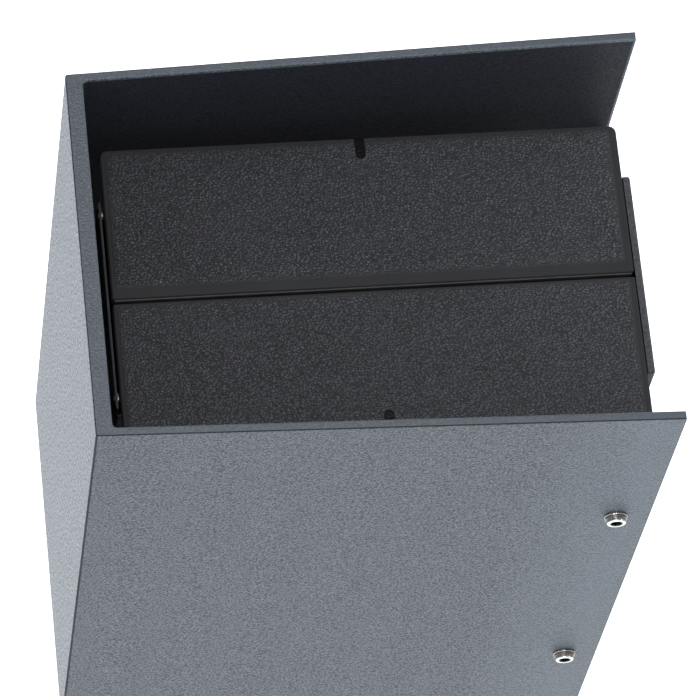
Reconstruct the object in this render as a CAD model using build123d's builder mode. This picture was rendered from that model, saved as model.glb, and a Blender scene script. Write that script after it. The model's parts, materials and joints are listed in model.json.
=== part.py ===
from build123d import *
import math
import os

# A wall-hung steel parcel drop box.  An open-topped cover wraps the front and both sides.
# Parcels are laid on two counterweighted flaps, sunk below the cover's rim.  The flaps tip
# inwards about long rods, let the parcel fall into the bin below and swing shut again.
# The bin is emptied through a hinged, lockable door in its floor.
#
# Frame: +X to the right seen from the front, +Y towards the wall, +Z up.
# The origin is the centre of the footprint, level with the cover's bottom edge.

os.makedirs("parts", exist_ok=True)

# ---------------------------------------------------------------- driving dimensions (mm)

# cover: a double-skinned U, slightly wider at the wall than at the front
cover_height = 550.0
cover_depth = 380.0
cover_front_width = 256.0
cover_rear_width = 278.6
cover_front_wall = 11.2
cover_side_wall = 5.8
cover_skin = 1.5
cover_liner_sheet = 1.2
cover_rim = 2.5
cover_corner_radius = 2.0
cover_inner_radius = 3.0
cover_rim_radius = 1.1
cut_margin = 1.0

# flaps: folded trays that meet at a narrow gap over the middle of the bin
flap_recess = 82.0
flap_side_gap = 12.8
flap_overhang = 35.0
flap_gap = 3.5
flap_sheet = 1.5
flap_hem = 10.0
flap_front_margin = 25.0
flap_rear_margin = 5.5
flap_inner_corner_radius = 1.5
flap_outer_corner_radius = 5.0
flap_edge_radius = 1.2
flap_slot_width = 7.2
flap_slot_notch = 5.0
slot_depth_left = 15.5
slot_depth_right = 22.45
ear_radius = 6.5

# pivot rods and their bushes
rod_radius = 3.0
rod_inset = 9.0
rod_drop = 9.0
rod_head_radius = 5.0
rod_head_length = 1.5
rod_head_edge = 0.5
clip_radius = 5.0
clip_sheet = 0.8
bush_radius = 4.0
bush_flange_radius = 5.5
bush_flange = 1.2
bush_length = 4.0
running_clearance = 0.05

# counterweight bars under the flaps' outer edges, each with a trim bar screwed on below.
# The screw heads lie in the flaps' slots, where a key reaches them.
weight_width = 26.0
weight_height = 6.0
weight_end_margin = 14.75
weight_edge = 1.0
trim_length = 60.0
trim_height = 6.0
trim_screw_radius = 1.5
trim_screw_head_radius = 2.7
trim_screw_head = 1.4
trim_screw_edge = 0.35
trim_screw_socket = 2.0
trim_screw_socket_depth = 0.9
trim_screw_setback_left = 7.75
trim_screw_setback_right = 18.85

# rubber lip that closes most of the gap between the flaps
lip_sheet = 1.2
lip_height = 7.0
lip_edge = 0.35

# bin: front and side walls of one folded sheet
bin_sheet = 1.5
bin_front_gap = 1.9
bin_bottom = 22.0
bin_top_drop = 4.0
bin_side_drop = 5.0
bin_notch_length = 12.0
bin_notch_depth = 11.0
bin_rear_flange = 15.0
bin_rear_flange_rise = 38.0
bin_rear_flange_drop = 29.0
back_rivet_margin = 29.6
bin_corner_radius = 2.5

# rubber buffer strips on the bin's side walls, where the closed flaps come to rest
buffer_wall = 1.7
buffer_height = 14.0
buffer_margin = 10.0
buffer_edge = 1.35
flap_seat_gap = 0.3

# back plate: a shallow folded pan that hangs on the wall
back_inset = 3.0
back_depth = 5.0
back_sheet = 1.5
back_bottom = 14.0
back_lip = 14.0
back_corner_radius = 2.0
back_bend_radius = 2.0
wall_hole_radius = 4.25
wall_hole_span_x = 90.0
wall_hole_rise = 66.0
wall_hole_drop = 58.0

# side brackets between the bin and the cover
bracket_sheet = 2.5
bracket_reach = 44.0
bracket_height = 44.0
bracket_bend = 2.0
wall_setback = 0.5

# cover bolts (M8) with their washers, spacers and nuts
bolt_radius = 4.0
bolt_hole_radius = 4.5
bolt_from_rear = 23.0
bolt_upper_drop = 168.0
bolt_lower_rise = 113.5
bolt_head_radius = 6.5
bolt_head = 3.0
bolt_head_edge = 0.8
bolt_socket = 7.0
bolt_socket_depth = 2.3
bolt_socket_mouth_radius = 4.5
bolt_socket_mouth = 0.5
bolt_tail = 1.5
washer_radius = 8.0
washer_sheet = 1.6
washer_edge = 0.3
spring_washer_radius = 7.6
spring_washer_sheet = 1.4
spring_washer_split = 1.0
nut_flats = 13.0
nut_height = 6.5
thread_clearance = 0.05

# blind rivets
rivet_radius = 2.0
rivet_head_radius = 4.0
rivet_head = 1.2
rivet_tail_radius = 3.0
rivet_tail = 1.6

# floor door with its gasket
door_sheet = 1.5
door_plate_bottom = 17.0
door_rear_gap = 10.5
door_rim_height = 8.5
door_rim_setback = 10.0
door_rim_clearance = 1.2
gasket_gap = 0.3

# butt hinges under the rear edge of the door
hinge_length = 36.0
hinge_side_gap = 5.0
hinge_sheet = 1.5
knuckle_radius = 3.5
hinge_pin_radius = 1.5
knuckle_gap = 0.3
hinge_wall_gap = 0.3
hinge_leaf_up = 27.0
hinge_leaf_in = 30.0

# cam lock in the front of the door
lock_setback = 28.4
lock_body_radius = 8.0
lock_head_radius = 10.0
lock_head = 2.5
lock_head_edge = 0.8
lock_plug_radius = 5.0
lock_nut_flats = 20.0
lock_nut_height = 3.0
lock_body_length = 16.0
keyway_width = 1.2
keyway_length = 6.0
keyway_depth = 4.0
cam_length = 24.0
cam_width = 15.0
cam_arm_width = 12.0
cam_tip_radius = 3.75
cam_sheet = 3.0
cam_square = 7.0
cam_square_clearance = 0.05
cam_screw_radius = 2.0
cam_screw_head_radius = 4.0
cam_screw_head = 1.8
strike_width = 40.0
strike_lip = 13.9
strike_height = 19.0
strike_sheet = 1.5
strike_rivet_rise = 12.35
strike_cam_gap = 0.5

# ---------------------------------------------------------------- places worked out from them

front_y = -cover_depth / 2
rear_y = cover_depth / 2
side_angle = math.atan((cover_rear_width - cover_front_width) / 2 / cover_depth)
sides = {"left": -1, "right": 1}


def half_width(y):
    """Half of the cover's outer width at depth y."""
    share = (y - front_y) / cover_depth
    return cover_front_width / 2 + share * (cover_rear_width - cover_front_width) / 2


def inner_half(y):
    """Half of the clear width inside the cover at depth y."""
    return half_width(y) - cover_side_wall / math.cos(side_angle)


flap_top = cover_height - flap_recess
flap_under = flap_top - flap_sheet
flap_front = front_y + flap_front_margin
flap_rear = rear_y - flap_rear_margin
flap_length = flap_rear - flap_front
flap_middle = (flap_front + flap_rear) / 2
flap_inner = flap_gap / 2
flap_outer = min(inner_half(flap_front), inner_half(flap_rear)) - flap_side_gap
flap_width = flap_outer - flap_inner

bin_half = flap_outer - flap_overhang
bin_width = 2 * bin_half
bin_front = flap_front - bin_front_gap - bin_sheet
bin_inner_front = bin_front + bin_sheet
bin_top = flap_top - bin_top_drop
bin_side_top = flap_top - bin_side_drop

rod_offset = bin_half - rod_inset
rod_height = flap_top - rod_drop
bin_rear_flange_bottom = bin_bottom + bin_rear_flange_rise
bin_rear_flange_top = rod_height - bin_rear_flange_drop

back_half = bin_half - back_inset
back_width = 2 * back_half
back_front = rear_y - back_depth
back_inner = rear_y - back_sheet
back_height = flap_top - back_bottom
bin_rear = back_front

bolt_y = rear_y - bolt_from_rear
bolt_upper = cover_height - bolt_upper_drop
bolt_lower = bolt_lower_rise
bolt_heights = (bolt_lower, bolt_upper)
bracket_rear = rear_y - wall_setback
bracket_front = bracket_rear - bracket_reach

door_plate_top = door_plate_bottom + door_sheet
door_front = bin_front
door_rear = rear_y - door_rear_gap
door_rim_half = bin_half - bin_sheet - door_rim_clearance
door_rim_front = bin_inner_front + door_rim_clearance
door_rim_rear = door_rear - door_rim_setback

hinge_offset = back_half - back_lip - hinge_side_gap - hinge_length / 2
hinge_y = back_inner - knuckle_radius - hinge_wall_gap
hinge_z = door_plate_bottom - hinge_sheet + knuckle_radius

lock_y = bin_front + lock_setback
cam_bottom = door_plate_bottom + lock_body_length
cam_top = cam_bottom + cam_sheet
strike_top = cam_bottom - strike_cam_gap
strike_bottom = strike_top - strike_sheet


def side_plane(side, y, z, inset=0.0):
    """A plane on the cover's side, facing outwards, sunk into it by inset."""
    normal = Vector(side * math.cos(side_angle), -math.sin(side_angle), 0)
    origin = Vector(side * half_width(y), y, z) - normal * inset
    return Plane(origin=origin, x_dir=(0, 0, 1), z_dir=normal)


def bolt_planes(inset=0.0):
    """The four cover bolts' places, on both sides."""
    return [side_plane(side, bolt_y, z, inset) for side in sides.values() for z in bolt_heights]


def finish(part, name):
    """Name a finished piece and write it."""
    part.label = name
    export_step(part, f"parts/{name}.step")


def cover_outline(front, side, rear):
    """Corner points of the cover's footprint, sunk by front, side and rear from the outer faces."""
    shift = side / math.cos(side_angle)
    y_front = front_y + front
    y_rear = rear_y - rear
    return [
        (-half_width(y_front) + shift, y_front),
        (half_width(y_front) - shift, y_front),
        (half_width(y_rear) - shift, y_rear),
        (-half_width(y_rear) + shift, y_rear),
    ]


# ---------------------------------------------------------------- cover

with BuildPart() as cover_shell:
    with BuildSketch():
        with BuildLine():
            Polyline(*cover_outline(0, 0, 0), close=True)
        make_face()
        fillet(vertices().group_by(Axis.Y)[0], cover_corner_radius)
    extrude(amount=cover_height)
    with BuildSketch():
        with BuildLine():
            Polyline(*cover_outline(cover_front_wall, cover_side_wall, -cut_margin), close=True)
        make_face()
        fillet(vertices().group_by(Axis.Y)[0], cover_inner_radius)
    extrude(amount=cover_height, mode=Mode.SUBTRACT)
    fillet(faces().sort_by(Axis.Z)[-1].edges(), cover_rim_radius)
    with BuildSketch(Plane.XY.offset(cover_rim)):
        with BuildLine():
            Polyline(*cover_outline(cover_skin, cover_skin, cover_skin), close=True)
        make_face()
    extrude(amount=cover_height - 2 * cover_rim, mode=Mode.SUBTRACT)
    with Locations(*bolt_planes()):
        Hole(bolt_hole_radius, depth=cover_side_wall)
finish(cover_shell.part, "cover_shell")

liner_side = cover_side_wall - cover_liner_sheet
liner_front = cover_front_wall - cover_liner_sheet
with BuildPart() as cover_liner:
    with BuildSketch(Plane.XY.offset(cover_rim)):
        with BuildLine():
            Polyline(*cover_outline(liner_front, liner_side, cover_skin), close=True)
        make_face()
        fillet(vertices().group_by(Axis.Y)[0], cover_inner_radius + cover_liner_sheet)
    extrude(amount=cover_height - 2 * cover_rim)
    with BuildSketch(Plane.XY.offset(cover_rim)):
        with BuildLine():
            Polyline(*cover_outline(cover_front_wall, cover_side_wall, -cut_margin), close=True)
        make_face()
        fillet(vertices().group_by(Axis.Y)[0], cover_inner_radius)
    extrude(amount=cover_height - 2 * cover_rim, mode=Mode.SUBTRACT)
    with Locations(*bolt_planes()):
        Hole(bolt_hole_radius, depth=cover_side_wall + cut_margin)
finish(cover_liner.part, "cover_liner")

# spacer rings keep the bolts from crushing the double skin
spacer_length = cover_side_wall - cover_skin - cover_liner_sheet
with BuildPart() as cover_spacers:
    with Locations(*bolt_planes(cover_skin)):
        Cylinder(washer_radius, spacer_length, align=(Align.CENTER, Align.CENTER, Align.MAX))
        Hole(bolt_hole_radius, depth=spacer_length)
finish(cover_spacers.part, "cover_spacers")

with BuildPart() as cover_washers:
    with Locations(*bolt_planes(-washer_sheet)):
        Cylinder(washer_radius, washer_sheet, align=(Align.CENTER, Align.CENTER, Align.MAX))
        Hole(bolt_hole_radius, depth=washer_sheet)
    fillet(edges().filter_by(GeomType.CIRCLE).filter_by(lambda e: e.radius == washer_radius), washer_edge)
finish(cover_washers.part, "cover_washers")

spring_washer_face = -(washer_sheet + spring_washer_sheet)
with BuildPart() as cover_spring_washers:
    with Locations(*bolt_planes(spring_washer_face)):
        Cylinder(
            spring_washer_radius, spring_washer_sheet, align=(Align.CENTER, Align.CENTER, Align.MAX)
        )
        Hole(bolt_hole_radius, depth=spring_washer_sheet)
        Box(
            spring_washer_radius + cut_margin,
            spring_washer_split,
            spring_washer_sheet,
            align=(Align.MAX, Align.CENTER, Align.MAX),
            mode=Mode.SUBTRACT,
        )
finish(cover_spring_washers.part, "cover_spring_washers")

bolt_face = spring_washer_face - bolt_head
bolt_shank = washer_sheet + spring_washer_sheet + cover_side_wall + bracket_sheet + nut_height + bolt_tail
with BuildPart() as cover_bolts:
    with Locations(*bolt_planes(bolt_face)):
        Cylinder(bolt_head_radius, bolt_head, align=(Align.CENTER, Align.CENTER, Align.MAX))
    fillet(faces().filter_by(GeomType.PLANE).group_by(Axis.X)[-1].edges(), bolt_head_edge)
    fillet(faces().filter_by(GeomType.PLANE).group_by(Axis.X)[0].edges(), bolt_head_edge)
    with Locations(*bolt_planes(spring_washer_face)):
        Cylinder(bolt_radius, bolt_shank, align=(Align.CENTER, Align.CENTER, Align.MAX))
    for plane in bolt_planes(bolt_face):
        with BuildSketch(plane):
            RegularPolygon(bolt_socket / 2, 6, major_radius=False)
        extrude(amount=-bolt_socket_depth, mode=Mode.SUBTRACT)
    with Locations(*bolt_planes(bolt_face)):
        Cone(
            bolt_socket / 2,
            bolt_socket_mouth_radius,
            bolt_socket_mouth,
            align=(Align.CENTER, Align.CENTER, Align.MAX),
            mode=Mode.SUBTRACT,
        )
finish(cover_bolts.part, "cover_bolts")

with BuildPart() as cover_nuts:
    for plane in bolt_planes(cover_side_wall + bracket_sheet):
        with BuildSketch(plane):
            RegularPolygon(nut_flats / 2, 6, major_radius=False)
            Circle(bolt_radius + thread_clearance, mode=Mode.SUBTRACT)
        extrude(amount=-nut_height)
finish(cover_nuts.part, "cover_nuts")

# ---------------------------------------------------------------- side brackets

bracket_rivet_y = bracket_front + bracket_reach / 3
bracket_rivet_rise = bracket_height / 4


def bracket_profile(side):
    """The bracket's U in plan: along the bin, across behind it, and back along the cover."""
    thick = bracket_sheet / math.cos(side_angle)
    web_front = bracket_rear - bracket_sheet
    return [
        (side * bin_half, bracket_front),
        (side * bin_half, bracket_rear),
        (side * inner_half(bracket_rear), bracket_rear),
        (side * inner_half(bracket_front), bracket_front),
        (side * (inner_half(bracket_front) - thick), bracket_front),
        (side * (inner_half(web_front) - thick), web_front),
        (side * (bin_half + bracket_sheet), web_front),
        (side * (bin_half + bracket_sheet), bracket_front),
    ]


for side_name, side in sides.items():
    for level_name, level in (("lower", bolt_lower), ("upper", bolt_upper)):
        with BuildPart() as bracket:
            with BuildSketch(Plane.XY.offset(level - bracket_height / 2)):
                with BuildLine():
                    Polyline(*bracket_profile(side), close=True)
                make_face()
            extrude(amount=bracket_height)
            bends = edges().filter_by(Axis.Z).group_by(Axis.Y)
            fillet(bends[-1], bracket_bend)
            with Locations(side_plane(side, bolt_y, level, cover_side_wall)):
                Hole(bolt_hole_radius, depth=bracket_sheet + cut_margin)
            for rise in (-bracket_rivet_rise, bracket_rivet_rise):
                leg_face = (side * (bin_half + bracket_sheet), bracket_rivet_y, level + rise)
                with Locations(Plane(origin=leg_face, z_dir=(side, 0, 0))):
                    Hole(rivet_radius, depth=bracket_sheet + cut_margin)
        finish(bracket.part, f"bracket_{level_name}_{side_name}")

with BuildPart() as bracket_rivets:
    for side in sides.values():
        for level in bolt_heights:
            for rise in (-bracket_rivet_rise, bracket_rivet_rise):
                leg_face = (side * (bin_half + bracket_sheet), bracket_rivet_y, level + rise)
                with Locations(Plane(origin=leg_face, z_dir=(side, 0, 0))):
                    Cylinder(
                        rivet_head_radius, rivet_head, align=(Align.CENTER, Align.CENTER, Align.MIN)
                    )
                    Cylinder(
                        rivet_radius,
                        bracket_sheet + bin_sheet,
                        align=(Align.CENTER, Align.CENTER, Align.MAX),
                    )
                tail_face = (side * (bin_half - bin_sheet), bracket_rivet_y, level + rise)
                with Locations(Plane(origin=tail_face, z_dir=(side, 0, 0))):
                    Cylinder(
                        rivet_tail_radius, rivet_tail, align=(Align.CENTER, Align.CENTER, Align.MAX)
                    )
finish(bracket_rivets.part, "bracket_rivets")

# ---------------------------------------------------------------- back plate

wall_hole_low = back_bottom + wall_hole_rise
wall_hole_high = flap_top - wall_hole_drop
wall_hole_middle = (wall_hole_low + wall_hole_high) / 2
wall_hole_span_z = wall_hole_high - wall_hole_low
back_rivet_x = back_half - back_lip / 2
back_rivet_heights = [
    bin_rear_flange_bottom + back_rivet_margin,
    (bin_rear_flange_bottom + bin_rear_flange_top) / 2,
    bin_rear_flange_top - back_rivet_margin,
]
hinge_rivet_rise = hinge_z + knuckle_radius + (hinge_leaf_up - knuckle_radius) / 2
hinge_rivet_spread = hinge_length / 4
hinge_rivet_places = [
    (side * hinge_offset + spread, hinge_rivet_rise)
    for side in sides.values()
    for spread in (-hinge_rivet_spread, hinge_rivet_spread)
]
back_rivet_places = [(side * back_rivet_x, z) for side in sides.values() for z in back_rivet_heights]
low_align = (Align.CENTER, Align.MIN, Align.MIN)

with BuildPart() as back_plate:
    with Locations((0, back_front, back_bottom)):
        Box(back_width, back_depth, back_height, align=low_align)
    top_corners = edges().filter_by(Axis.Y).group_by(Axis.Z)[-1]
    fillet(top_corners, back_corner_radius)
    rear_bends = edges().filter_by(Axis.Z).group_by(Axis.Y)[-1]
    fillet(rear_bends, back_bend_radius)
    with Locations((0, back_front + back_sheet, back_bottom)):
        Box(
            back_width - 2 * back_sheet,
            back_depth - 2 * back_sheet,
            back_height - back_sheet,
            align=low_align,
            mode=Mode.SUBTRACT,
        )
    with Locations((0, back_front, back_bottom)):
        Box(
            back_width - 2 * back_lip,
            back_sheet,
            back_height - back_sheet,
            align=low_align,
            mode=Mode.SUBTRACT,
        )
    with BuildSketch(Plane.XZ.offset(-rear_y)):
        with Locations((0, wall_hole_middle)):
            with GridLocations(wall_hole_span_x, wall_hole_span_z, 2, 2):
                Circle(wall_hole_radius)
        with Locations(*hinge_rivet_places):
            Circle(rivet_radius)
        with Locations((-rod_offset, rod_height), (rod_offset, rod_height)):
            Circle(rod_radius + running_clearance)
    extrude(amount=back_depth, mode=Mode.SUBTRACT)
    with BuildSketch(Plane.XZ.offset(-(back_front + back_sheet))):
        with Locations(*back_rivet_places):
            Circle(rivet_radius)
    extrude(amount=back_sheet, mode=Mode.SUBTRACT)
finish(back_plate.part, "back_plate")

# ---------------------------------------------------------------- bin

strike_rivet_z = strike_bottom + strike_rivet_rise
strike_rivet_x = strike_width / 4
strike_rivet_places = [(-strike_rivet_x, strike_rivet_z), (strike_rivet_x, strike_rivet_z)]

with BuildPart() as bin_walls:
    with Locations((0, bin_front, bin_bottom)):
        Box(bin_width, bin_rear - bin_front, bin_top - bin_bottom, align=low_align)
    front_corners = edges().filter_by(Axis.Z).group_by(Axis.Y)[0]
    fillet(front_corners, bin_corner_radius)
    with Locations((0, bin_inner_front, bin_bottom)):
        Box(
            bin_width - 2 * bin_sheet,
            bin_rear - bin_sheet - bin_inner_front,
            bin_top - bin_bottom,
            align=low_align,
            mode=Mode.SUBTRACT,
        )
    with Locations((0, bin_rear - bin_sheet, bin_bottom)):
        Box(
            bin_width - 2 * bin_rear_flange,
            bin_sheet,
            bin_top - bin_bottom,
            align=low_align,
            mode=Mode.SUBTRACT,
        )
    # the rear flanges stop short of the door's hinges and of the flaps
    for low, high in ((bin_bottom, bin_rear_flange_bottom), (bin_rear_flange_top, bin_top)):
        with Locations((0, bin_rear - bin_sheet, low)):
            Box(
                bin_width - 2 * bin_sheet,
                bin_sheet,
                high - low,
                align=low_align,
                mode=Mode.SUBTRACT,
            )
    # the side walls are lower than the front, with a notch at each end for the flaps' hems
    with Locations((0, bin_inner_front, bin_side_top)):
        Box(
            bin_width,
            bin_rear - bin_inner_front,
            bin_top - bin_side_top,
            align=low_align,
            mode=Mode.SUBTRACT,
        )
    with Locations((0, bin_inner_front, bin_side_top - bin_notch_depth)):
        Box(bin_width, bin_notch_length, bin_notch_depth, align=low_align, mode=Mode.SUBTRACT)
    with Locations((0, bin_rear - bin_notch_length, bin_side_top - bin_notch_depth)):
        Box(bin_width, bin_notch_length, bin_notch_depth, align=low_align, mode=Mode.SUBTRACT)
    with BuildSketch(Plane.XZ.offset(-bin_front)):
        with Locations((-rod_offset, rod_height), (rod_offset, rod_height)):
            Circle(rod_radius + running_clearance)
        with Locations(*strike_rivet_places):
            Circle(rivet_radius)
    extrude(amount=-bin_sheet, mode=Mode.SUBTRACT)
    with BuildSketch(Plane.XZ.offset(-bin_rear)):
        with Locations(*back_rivet_places):
            Circle(rivet_radius)
    extrude(amount=bin_sheet, mode=Mode.SUBTRACT)
    for side in sides.values():
        for level in bolt_heights:
            for rise in (-bracket_rivet_rise, bracket_rivet_rise):
                wall_face = (side * bin_half, bracket_rivet_y, level + rise)
                with Locations(Plane(origin=wall_face, z_dir=(side, 0, 0))):
                    Hole(rivet_radius, depth=bin_sheet)
finish(bin_walls.part, "bin_walls")

with BuildPart() as bin_rivets:
    with BuildSketch(Plane.XZ.offset(-(bin_rear - bin_sheet - rivet_head))):
        with Locations(*back_rivet_places):
            Circle(rivet_head_radius)
    extrude(amount=-rivet_head)
    with BuildSketch(Plane.XZ.offset(-(bin_rear - bin_sheet))):
        with Locations(*back_rivet_places):
            Circle(rivet_radius)
    extrude(amount=-(bin_sheet + back_sheet))
    with BuildSketch(Plane.XZ.offset(-(bin_rear + back_sheet))):
        with Locations(*back_rivet_places):
            Circle(rivet_tail_radius)
    extrude(amount=-rivet_tail)
finish(bin_rivets.part, "bin_rivets")

# ---------------------------------------------------------------- rods, clips, flaps and their fittings

rod_front = bin_front - rod_head_length
buffer_half = bin_sheet / 2 + buffer_wall
wall_middle = bin_half - bin_sheet / 2
buffer_front = bin_inner_front + bin_notch_length + buffer_margin
buffer_rear = bin_rear - bin_notch_length - buffer_margin
weight_outer = flap_outer - flap_sheet
weight_length = flap_length - 2 * weight_end_margin
trim_top = flap_under - weight_height
slot_depths = {"left": slot_depth_left, "right": slot_depth_right}
screw_setbacks = {"left": trim_screw_setback_left, "right": trim_screw_setback_right}

for side_name, side in sides.items():
    rod_x = side * rod_offset
    slot_end = side * (flap_outer - slot_depths[side_name] + flap_slot_width / 2)
    screw_x = side * (flap_outer - screw_setbacks[side_name])

    with BuildPart() as rod:
        with BuildSketch(Plane.XZ.offset(-rod_front)):
            with Locations((rod_x, rod_height)):
                Circle(rod_head_radius)
        extrude(amount=-rod_head_length)
        fillet(faces().sort_by(Axis.Y)[0].edges(), rod_head_edge)
        with BuildSketch(Plane.XZ.offset(-bin_front)):
            with Locations((rod_x, rod_height)):
                Circle(rod_radius)
        extrude(amount=-(rear_y - wall_setback - bin_front))
    finish(rod.part, f"rod_{side_name}")

    with BuildPart() as rod_clip:
        with BuildSketch(Plane.XZ.offset(-bin_inner_front)):
            with Locations((rod_x, rod_height)):
                Circle(clip_radius)
                Circle(rod_radius + running_clearance, mode=Mode.SUBTRACT)
            with Locations((rod_x, rod_height - clip_radius)):
                Rectangle(rod_radius, 2 * clip_radius - rod_radius, mode=Mode.SUBTRACT)
        extrude(amount=-clip_sheet)
    finish(rod_clip.part, f"rod_clip_{side_name}")

    with BuildPart() as flap:
        with Locations((side * (flap_inner + flap_width / 2), flap_middle, flap_top)):
            Box(flap_width, flap_length, flap_hem, align=(Align.CENTER, Align.CENTER, Align.MAX))
        corners = edges().filter_by(Axis.Z).group_by(Axis.X)
        inner_corners, outer_corners = (corners[0], corners[-1]) if side > 0 else (corners[-1], corners[0])
        fillet(inner_corners, flap_inner_corner_radius)
        fillet(outer_corners, flap_outer_corner_radius)
        fillet(faces().sort_by(Axis.Z)[-1].edges(), flap_edge_radius)
        with Locations((side * (flap_inner + flap_width / 2), flap_middle, flap_under)):
            Box(
                flap_width - 2 * flap_sheet,
                flap_length - 2 * flap_sheet,
                flap_hem,
                align=(Align.CENTER, Align.CENTER, Align.MAX),
                mode=Mode.SUBTRACT,
            )
        for ear_start in (flap_front, flap_rear - flap_sheet):
            with BuildSketch(Plane.XZ.offset(-ear_start)):
                with Locations((rod_x, rod_height)):
                    Circle(ear_radius)
            extrude(amount=-flap_sheet)
        with BuildSketch(Plane.XZ.offset(-flap_front)):
            with Locations((rod_x, rod_height)):
                Circle(bush_radius)
        extrude(amount=-flap_length, mode=Mode.SUBTRACT)
        with BuildSketch(Plane.XY.offset(flap_top)):
            with Locations((slot_end, flap_middle)):
                Circle(flap_slot_width / 2)
                Rectangle(
                    2 * flap_width,
                    flap_slot_width,
                    align=(Align.MIN if side > 0 else Align.MAX, Align.CENTER),
                )
        extrude(amount=-flap_slot_notch, mode=Mode.SUBTRACT)
    finish(flap.part, f"flap_{side_name}")

    with BuildPart() as bushes:
        for end, inward in ((flap_front, 1), (flap_rear, -1)):
            with BuildSketch(Plane.XZ.offset(-end)):
                with Locations((rod_x, rod_height)):
                    Circle(bush_radius)
            extrude(amount=-inward * bush_length)
            with BuildSketch(Plane.XZ.offset(-(end + inward * flap_sheet))):
                with Locations((rod_x, rod_height)):
                    Circle(bush_flange_radius)
            extrude(amount=-inward * bush_flange)
        with BuildSketch(Plane.XZ.offset(-flap_front)):
            with Locations((rod_x, rod_height)):
                Circle(rod_radius + running_clearance)
        extrude(amount=-flap_length, mode=Mode.SUBTRACT)
    finish(bushes.part, f"flap_bushes_{side_name}")

    with BuildPart() as weight:
        with Locations((side * weight_outer, flap_middle, flap_under)):
            Box(
                weight_width,
                weight_length,
                weight_height,
                align=(Align.MAX if side > 0 else Align.MIN, Align.CENTER, Align.MAX),
            )
        chamfer(faces().sort_by(Axis.Z)[0].edges(), weight_edge)
        with Locations((screw_x, flap_middle, flap_under)):
            Hole(trim_screw_radius + thread_clearance, depth=weight_height)
    finish(weight.part, f"counterweight_{side_name}")

    with BuildPart() as trim:
        with Locations((side * weight_outer, flap_middle, trim_top)):
            Box(
                weight_width,
                trim_length,
                trim_height,
                align=(Align.MAX if side > 0 else Align.MIN, Align.CENTER, Align.MAX),
            )
        chamfer(faces().sort_by(Axis.Z)[0].edges(), weight_edge)
        with Locations((screw_x, flap_middle, trim_top)):
            Hole(trim_screw_radius + thread_clearance, depth=trim_height)
    finish(trim.part, f"trim_weight_{side_name}")

    with BuildPart() as trim_screw:
        with Locations((screw_x, flap_middle, flap_under)):
            Cylinder(
                trim_screw_head_radius,
                trim_screw_head,
                align=(Align.CENTER, Align.CENTER, Align.MIN),
            )
        fillet(faces().sort_by(Axis.Z)[-1].edges(), trim_screw_edge)
        with Locations((screw_x, flap_middle, flap_under)):
            Cylinder(
                trim_screw_radius,
                weight_height + trim_height,
                align=(Align.CENTER, Align.CENTER, Align.MAX),
            )
        with BuildSketch(Plane.XY.offset(flap_under + trim_screw_head)):
            with Locations((screw_x, flap_middle)):
                RegularPolygon(trim_screw_socket / 2, 6, major_radius=False)
        extrude(amount=-trim_screw_socket_depth, mode=Mode.SUBTRACT)
    finish(trim_screw.part, f"trim_screw_{side_name}")

    with BuildPart() as side_buffer:
        with BuildSketch(Plane.XZ.offset(-buffer_front)):
            with Locations((side * wall_middle, flap_under - flap_seat_gap)):
                Rectangle(2 * buffer_half, buffer_height, align=(Align.CENTER, Align.MAX))
            fillet(vertices().group_by(Axis.Y)[-1], buffer_edge)
            with Locations((side * wall_middle, bin_side_top)):
                Rectangle(bin_sheet, buffer_height, align=(Align.CENTER, Align.MAX), mode=Mode.SUBTRACT)
        extrude(amount=-(buffer_rear - buffer_front))
    finish(side_buffer.part, f"buffer_strip_{side_name}")

with BuildPart() as flap_lip:
    with Locations((-flap_inner, flap_middle, flap_top - flap_edge_radius)):
        Box(
            lip_sheet,
            flap_length - 2 * flap_inner_corner_radius,
            lip_height,
            align=(Align.MIN, Align.CENTER, Align.MAX),
        )
    fillet(edges().filter_by(Axis.Y), lip_edge)
finish(flap_lip.part, "flap_lip")

# ---------------------------------------------------------------- floor door

door_middle = (door_front + door_rear) / 2
door_length = door_rear - door_front
door_rim_length = door_rim_rear - door_rim_front
door_rim_middle = (door_rim_rear + door_rim_front) / 2
gasket_height = bin_bottom - gasket_gap - door_plate_top
leaf_rivet_y = door_rear - hinge_leaf_in / 2
door_rivet_places = [
    (side * hinge_offset + spread, leaf_rivet_y)
    for side in sides.values()
    for spread in (-hinge_rivet_spread, hinge_rivet_spread)
]

with BuildPart() as floor_door:
    with BuildSketch(Plane.XY.offset(door_plate_bottom)):
        with Locations((0, door_middle)):
            RectangleRounded(bin_width, door_length, bin_corner_radius)
        with Locations((0, lock_y)):
            Circle(lock_body_radius, mode=Mode.SUBTRACT)
        with Locations(*door_rivet_places):
            Circle(rivet_radius, mode=Mode.SUBTRACT)
    extrude(amount=door_sheet)
    with BuildSketch(Plane.XY.offset(door_plate_top)):
        with Locations((0, door_rim_middle)):
            RectangleRounded(2 * door_rim_half, door_rim_length, bin_corner_radius)
            RectangleRounded(
                2 * (door_rim_half - door_sheet),
                door_rim_length - 2 * door_sheet,
                bin_corner_radius - door_sheet,
                mode=Mode.SUBTRACT,
            )
    extrude(amount=door_rim_height)
finish(floor_door.part, "floor_door")

with BuildPart() as door_gasket:
    with BuildSketch(Plane.XY.offset(door_plate_top)):
        with Locations((0, door_middle)):
            RectangleRounded(bin_width, door_length, bin_corner_radius)
        with Locations((0, door_rim_middle)):
            RectangleRounded(2 * door_rim_half, door_rim_length, bin_corner_radius, mode=Mode.SUBTRACT)
    extrude(amount=gasket_height)
finish(door_gasket.part, "door_gasket")

# ---------------------------------------------------------------- hinges

knuckle_length = hinge_length / 3
leaf_clear = knuckle_radius + knuckle_gap

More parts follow.
